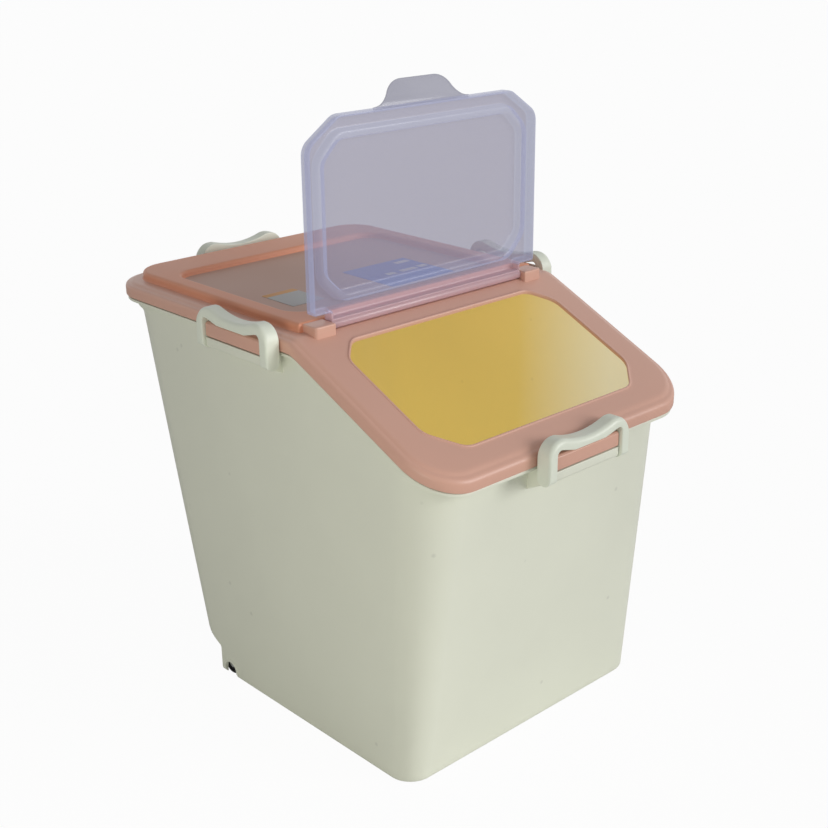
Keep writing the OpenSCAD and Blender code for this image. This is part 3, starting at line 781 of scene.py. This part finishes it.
def build_door():
    """The door: a plate with a deep rim, the sealing ring that stands on it, and the hinge
    barrel with its two pins."""
    s = Skin()

    def stand(p, back):
        """A flat outline stood upright behind the hinge axis."""
        return np.column_stack([p[:, 0], np.full(len(p), HINGE[1] + back), HINGE[2] + p[:, 1]])

    def wrap(corners, radii, steps):
        """Rings lofted on an outline. A step is how far the outline is set in and its depth
        behind the hinge axis. Only the rings between the first two and the last two carry the
        edge's lighter copy, with its stronger painted glow. Gives back the first and the last
        outline."""
        flat = [outline(corners, radii, -inset) for inset, _ in steps]
        rows = [stand(p, back) for p, (_, back) in zip(flat, steps)]
        for part, mark in ((rows[:2], 0), (rows[1:-1], 1), (rows[-2:], 0)):
            s.loft(part, mark)
        return flat[0], flat[-1]

    back, plate = wrap(DOOR_C, DOOR_R, (
        (4.5, DOOR_BACK), (2.4, DOOR_BACK), (1.5, 7.88), (0.8, 7.5), (0.3, 6.9), (0.05, 6.1),
        (0, 5.2), (0, -1.3), (0.12, -1.75), (0.5, -2), (1.4, -2), (1.85, -1.75), (2, -1.3),
        (2, 4.6), (2.15, 5.3), (2.6, 5.8), (3.4, PLATE_FRONT), (5, PLATE_FRONT)))
    outer, inner = wrap(RING_C, RING_R, (
        (-2.6, PLATE_FRONT), (-0.9, PLATE_FRONT), (-0.3, 5.75), (0, 5.1), (0.1, 0.6),
        (0.35, -0.3), (1.1, -0.95), (2.3, -1.2), (4.2, -1.2), (5.6, -0.9), (6.4, -0.2),
        (6.8, 0.8), (7, 4.6), (7.3, 5.5), (8, PLATE_FRONT), (10, PLATE_FRONT)))
    s.fill([back], lambda q: stand(q, DOOR_BACK))
    s.fill([plate, outer], lambda q: stand(q, PLATE_FRONT))
    s.fill([inner], lambda q: stand(q, PLATE_FRONT))
    s.rod(HINGE - [BARREL_X, 0, 0], HINGE + [BARREL_X, 0, 0], BARREL_R)
    for x in (-1, 1):
        s.rod(HINGE + [x * (BARREL_X - 1), 0, 0], HINGE + [x * (BARREL_X + 10), 0, 0], PIN_R)
    return s


def build_tab():
    """The finger tab: a tongue with flared feet that leans away from the door's face. Its plan
    is an arc for the head, cut off where it meets the feet, and its mirror."""
    s = Skin()
    r = 19.6
    a = np.linspace(0, math.pi / 2, 14)
    head = np.column_stack([18 + r * np.cos(a), r * np.sin(a)])
    feet = [(52, -2.5), (52, 0.0), (48.5, 0.35), (45.0, 1.25), (41.8, 2.8), (39.0, 4.9),
            (36.9, 7.1)]
    right = np.concatenate([feet, head[head[:, 1] > 8.4]])
    loop = np.concatenate([right, (right * [-1, 1])[::-1]])
    out = mitres(loop)
    sin, cos = math.sin(TAB_LEAN), math.cos(TAB_LEAN)

    def place(p, y):
        """The tongue turned back by its lean about the door's rear top edge, with the lean eased
        in over its first millimetres."""
        up, back = p[:, 1], y - DOOR_BACK
        bend = np.clip(up / 3.0, 0, 1)
        return np.column_stack([p[:, 0], HINGE[1] + DOOR_BACK + back * cos + up * sin * bend,
                                HINGE[2] + DOOR_TOP + up * cos - back * sin * bend])

    steps = [(-0.7, PLATE_FRONT), (-0.2, 6.2), (0, 6.7), (0, 7.3), (-0.2, 7.8),
             (-0.7, DOOR_BACK)]
    s.loft([place(loop + grow * out, y) for grow, y in steps])
    for grow, y in (steps[0], steps[-1]):
        s.fill([loop + grow * out], lambda q, y=y: place(q, y))
    return s


piece("Flip_Door", build_door(), "door", "door_clear", [DOOR, DOOR_EDGE], "flip_door", sharp=50)
piece("Flip_Door_Tab", build_tab(), "door", "door_clear", [DOOR_TAB], sharp=50)


# ---------------------------------------------------------------- clips

# the arcs of a clip's outline, each by its centre and radius: the outer end of a hump, the dip
# between the humps, and the small gap at an end of the slot
HUMP_V, HUMP_W, HUMP_R = 33.0, 8.0, 14.0
DIP_W, DIP_R = 103.6, 86.6
GAP_V, SLOT_W, GAP_R = 34.0, 9.9, 4.0
INNER_R = 0.9             # rounding of the clip's edges on the side of the skirt


def clip_outline():
    """The clip seen from outside, anticlockwise from the foot of one leg: two humps with a dip
    between them above, and below a slot that rises over a small gap at each end. Each point has
    the radius of its rounded outer edge, and whether it belongs to a foot."""
    v = CLIP_HALF * np.cos(np.linspace(0, math.pi, 81))
    reach = np.maximum(np.abs(v) - HUMP_V, 0)
    hump = HUMP_W + np.sqrt(np.maximum(HUMP_R ** 2 - reach ** 2, 0))
    top = np.minimum(hump, DIP_W - np.sqrt(DIP_R ** 2 - v * v))
    soft = np.convolve(np.pad(top, 2, mode="edge"), [0.1, 0.2, 0.4, 0.2, 0.1], "valid")
    upper = np.column_stack([v, np.where(np.abs(v) < 42, soft, top)])[1:-1]
    a = np.radians(np.linspace(0, 104, 8))
    gap = np.column_stack([GAP_V + GAP_R * np.cos(a), SLOT_W + GAP_R * np.sin(a)])
    slot = level(np.arange(-18, 19, 9), SLOT_W)
    lower = np.concatenate([gap * [-1, 1], slot, gap[::-1]])

    def leg(v, w0, w1):
        return np.column_stack([np.full(5, v), np.linspace(w0, w1, 5)])

    parts = (
        ([(LEG_IN, 0), (CLIP_HALF, 0)], 2.0, True),
        (leg(CLIP_HALF, -4, 7), 2.2, False),
        (upper, 2.2 + 2.0 * np.clip((upper[:, 1] - 9) / 8, 0, 1), False),
        (leg(-CLIP_HALF, 7, -4), 2.2, False),
        ([(-CLIP_HALF, 0), (-LEG_IN, 0)], 2.0, True),
        (leg(-LEG_IN, -4, 8), 1.2, False),
        (lower, 1.2, False),
        (leg(LEG_IN, 8, -4), 1.2, False))
    return (np.concatenate([p for p, _, _ in parts]),
            np.concatenate([np.broadcast_to(r, len(p)) for p, r, _ in parts]),
            np.concatenate([np.full(len(p), foot) for p, _, foot in parts]))


def drawn_in(r, depth):
    """How far an edge rounded by r draws in at a depth under the face: r less the root of its
    square minus the square of what is left of it."""
    rest = np.clip(r - depth, 0, None)
    return r - np.sqrt(np.maximum(r ** 2 - rest ** 2, 0))


def build_clip(side):
    """A clip lofted from the skirt's side outwards, with its two pivot pins."""
    s = Skin()
    flat, radius, foot = clip_outline()
    flat[foot, 1] = -9.0
    out = mitres(flat)
    u0, u1 = PIVOT_OUT - CLIP_DEEP, PIVOT_OUT + CLIP_DEEP
    us = np.unique(np.round(np.concatenate([
        PIVOT_OUT + CLIP_DEEP * np.sin(np.radians(np.linspace(-90, 90, 19))),
        u1 - np.array([0.15, 0.5, 1, 1.6, 2.3, 3.2, 4.2]), u0 + np.array([0.2, 0.6, 1.0])]), 3))

    def row(u):
        """The outline at a depth, drawn in by its rounded edges, with feet round the pivot."""
        draw = drawn_in(radius, u1 - u) + drawn_in(INNER_R, u - u0)
        p = flat - out * draw[:, None]
        p[foot, 1] = -PIVOT_DROP - math.sqrt(max(CLIP_DEEP ** 2 - (u - PIVOT_OUT) ** 2, 0))
        return p

    def face(p, u):
        return side(np.full(len(p), u), p[:, 0], p[:, 1])

    s.loft([face(row(u), u) for u in us])
    for u in (us[0], us[-1]):
        s.fill([row(u)], lambda q, u=u: face(q, u))
    for v in (-1, 1):
        pin = level(v * np.array([30.5, 39]), -PIVOT_DROP)
        s.rod(*face(pin, PIVOT_OUT), PIN_R)
    return s


for name, side in SIDES.items():
    piece(f"Clip_{name.title()}", build_clip(side), f"latch_{name}", "clip_plastic", [CLIP],
          f"clip_{name}", sharp=45)


# ---------------------------------------------------------------- labels

def build_label(x0, y0, x1, y1):
    """A thin label on the lid's let-in floor."""
    s = Skin()
    floor = RIM + CAP + FLOOR_UP
    s.slab(box_corners(x0, y0, x1, y1), [1.5] * 4, floor, floor + 0.3, 0.1)
    return s


BLUE = label_material("label_blue", (12, 112, 218), (222, 230, 242),
                      [(60, 57, 76, 64), (28, 33, 38, 40), (45, 33, 64, 40), (67, 34, 77, 41)])
TAN = label_material("label_silver", (190, 190, 188), (216, 160, 96), [(-94, 52, -60, 62)])
piece("Label_Wide", build_label(5, 2.9, 79, 70.9), "bin", "label_blue", [BLUE], "label_wide")
piece("Label_Small", build_label(-94, 15.9, -60, 59.9), "bin", "label_tan", [TAN], "label_small")


# ---------------------------------------------------------------- kept construction parts

KEPT = {"lid_seal": SEAL, "wheel_left": WHEEL, "wheel_right": WHEEL, "axle_left": STEEL,
        "axle_right": STEEL}
for ob in bpy.context.scene.objects:
    mat = KEPT.get(ob.name.split(".")[0])
    if mat is not None and ob.type == "MESH":
        for slot in ob.material_slots:
            slot.material = mat


# ---------------------------------------------------------------- stage, light and camera

WHITE = (1, 1, 1, 1)
ROOM = 0.31               # strength of the room's light on the object
LIFT = 0.955              # share of the floor's look that is plain white for the camera
LOST = 0.38               # share of the backdrop's light that is lost through the door


def backdrop_light(s):
    """Full where the backdrop is seen directly and dimmer where it is seen through the door."""
    return 1 - LOST * (s.node("LightPath", {}, {}, "Transparent Depth") > 0.5)


def floor_material():
    """Pale floor: plain white board, which the camera sees lifted towards white."""
    s = Shade(bpy.data.materials.new("floor_white"))
    board = s.tree.nodes["Principled BSDF"]
    s.finish({"Base Color": (0.82, 0.82, 0.82, 1), "Roughness": 0.9})
    seen = s.node("LightPath", {}, {}, "Is Camera Ray") * LIFT
    glow = s.node("Emission", {}, {"Color": WHITE, "Strength": backdrop_light(s)})
    both = s.node("MixShader", {}, {0: seen, 1: Wire(s, board.outputs[0]), 2: glow})
    s.feed(s.tree.nodes["Material Output"], {"Surface": both})
    return s.owner


def studio():
    """Soft white room light, and plain white where the camera or a shiny or clear piece looks."""
    s = Shade(bpy.data.worlds.new("Studio"))
    seen = s.node("LightPath", {}, {}, "Is Camera Ray")
    for ray in ("Is Glossy Ray", "Is Transmission Ray"):
        seen = seen.top(s.node("LightPath", {}, {}, ray))
    room = s.node("Background", {}, {"Color": WHITE, "Strength": ROOM})
    sheet = s.node("Background", {}, {"Color": WHITE, "Strength": backdrop_light(s)})
    both = s.node("MixShader", {}, {0: seen, 1: room, 2: sheet})
    s.feed(s.tree.nodes["World Output"], {"Surface": both})
    return s.owner


def lamp(kind, name, toward, energy, place=(0, 0, 0), **settings):
    """A lamp that stands in a place and shines from the given direction."""
    light = bpy.data.lights.new(name, kind)
    light.energy = energy
    for key, value in settings.items():
        setattr(light, key, value)
    ob = bpy.data.objects.new(name, light)
    ob.location = place
    ob.rotation_euler = Vector(toward).to_track_quat("Z", "Y").to_euler()
    bpy.context.scene.collection.objects.link(ob)
    return ob


scene = bpy.context.scene
me = bpy.data.meshes.new("Floor")
me.from_pydata([(-9, -9, 0), (9, -9, 0), (9, 9, 0), (-9, 9, 0)], [], [(0, 1, 2, 3)])
me.materials.append(floor_material())
floor = bpy.data.objects.new("Floor", me)
scene.collection.objects.link(floor)

scene.world = studio()
lamp("SUN", "Key", (0.50, -0.82, 0.28), 1.60, angle=math.radians(30))
side_lamp = lamp("AREA", "Side", (-0.66, -0.37, 0.19), 1.5, (-0.80, -0.42, 0.36), size=0.35,
                 color=(1.0, 0.985, 0.87))
side_lamp.visible_camera = False

# the camera's place, and its directions to the right, up and ahead
cam = bpy.data.cameras.new("Camera")
cam.lens, cam.sensor_width = 59.107, 36
view = bpy.data.objects.new("Camera", cam)
scene.collection.objects.link(view)
at = (-0.755446, -0.844295, 0.671297)
right = (0.7312728, -0.68199588, -0.01103189)
up = (0.24991213, 0.25285013, 0.93467146)
ahead = (0.63465267, 0.68625682, -0.35534146)
rows = [(r, u, -a, p) for r, u, a, p in zip(right, up, ahead, at)]
view.matrix_world = Matrix(rows + [(0, 0, 0, 1)])
scene.camera = view
scene.view_settings.view_transform = "Standard"
